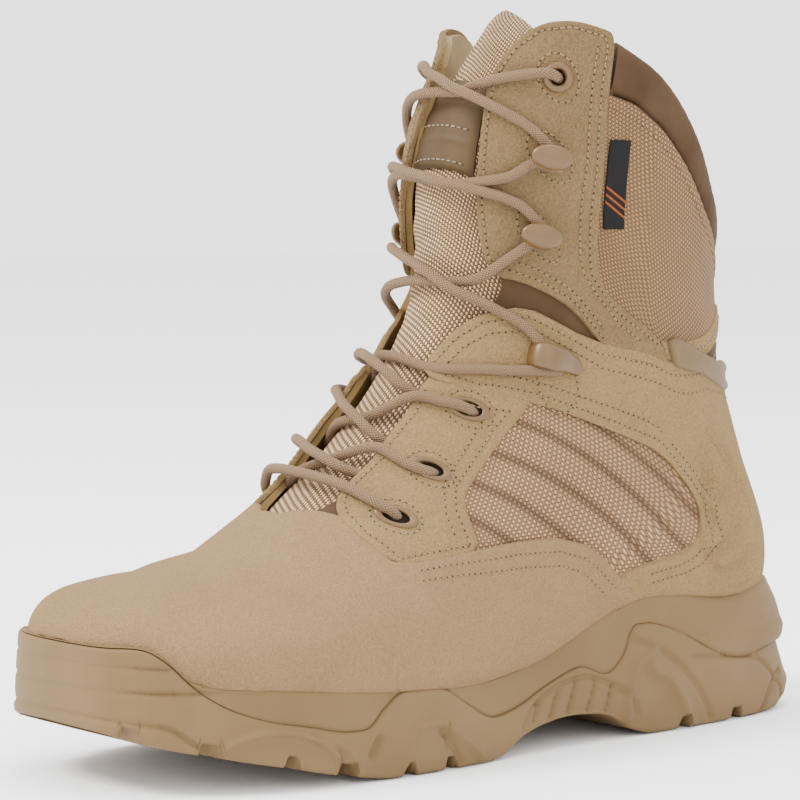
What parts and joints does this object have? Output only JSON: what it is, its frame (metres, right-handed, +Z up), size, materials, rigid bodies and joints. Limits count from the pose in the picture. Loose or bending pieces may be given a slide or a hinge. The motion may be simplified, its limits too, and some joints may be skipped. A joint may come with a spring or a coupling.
{
  "type": "combat boot",
  "caption": "Left eight-inch lace-up combat boot with hollow suede and nylon upper, padded tongue and collar, and a lugged rubber sole.",
  "frame": {"origin": "bottom centre of the bounding box, on the floor under the sole", "axes": "-Y towards the toe, +X towards the outer side, +Z up"},
  "size_m": [0.108, 0.3, 0.245],
  "materials": {
    "woven_shell": "coarse woven nylon",
    "sole_rubber": "matt moulded",
    "midsole_foam": "satin moulded",
    "footbed_felt": "felt",
    "tongue_fabric": "padded woven",
    "smooth_leather": "smooth",
    "suede": "brushed suede",
    "strap_rubber": "moulded",
    "tag_cloth": "woven label",
    "fitting_metal": "coated, semi-matt",
    "lace_cord": "braided"
  },
  "bodies": {
    "root": {"upper": "woven_shell", "outsole": "sole_rubber", "midsole": "midsole_foam", "insole": "footbed_felt", "tongue": "tongue_fabric", "collar": "smooth_leather", "tongue_patch": "smooth_leather", "facing_outer": "suede", "facing_inner": "suede", "ankle_strap_outer": "suede", "ankle_strap_inner": "suede", "quarter_outer": "suede", "quarter_inner": "suede", "vamp": "suede", "heel_counter": "suede", "back_strap": "strap_rubber", "side_tag": "tag_cloth", "eyelet_1_outer": "fitting_metal", "eyelet_1_inner": "fitting_metal", "eyelet_2_outer": "fitting_metal", "eyelet_2_inner": "fitting_metal", "eyelet_3_outer": "fitting_metal", "eyelet_3_inner": "fitting_metal", "top_eyelet_outer": "fitting_metal", "top_eyelet_inner": "fitting_metal", "hook_1_outer": "fitting_metal", "hook_1_inner": "fitting_metal", "hook_2_outer": "fitting_metal", "hook_2_inner": "fitting_metal", "ankle_hook_outer": "fitting_metal", "ankle_hook_inner": "fitting_metal", "lace_bar": "lace_cord", "lace_cross_1": "lace_cord", "lace_cross_2": "lace_cord", "lace_cross_3": "lace_cord", "lace_cross_4": "lace_cord", "lace_cross_5": "lace_cord", "lace_cross_6": "lace_cord"}
  },
  "joints": []
}
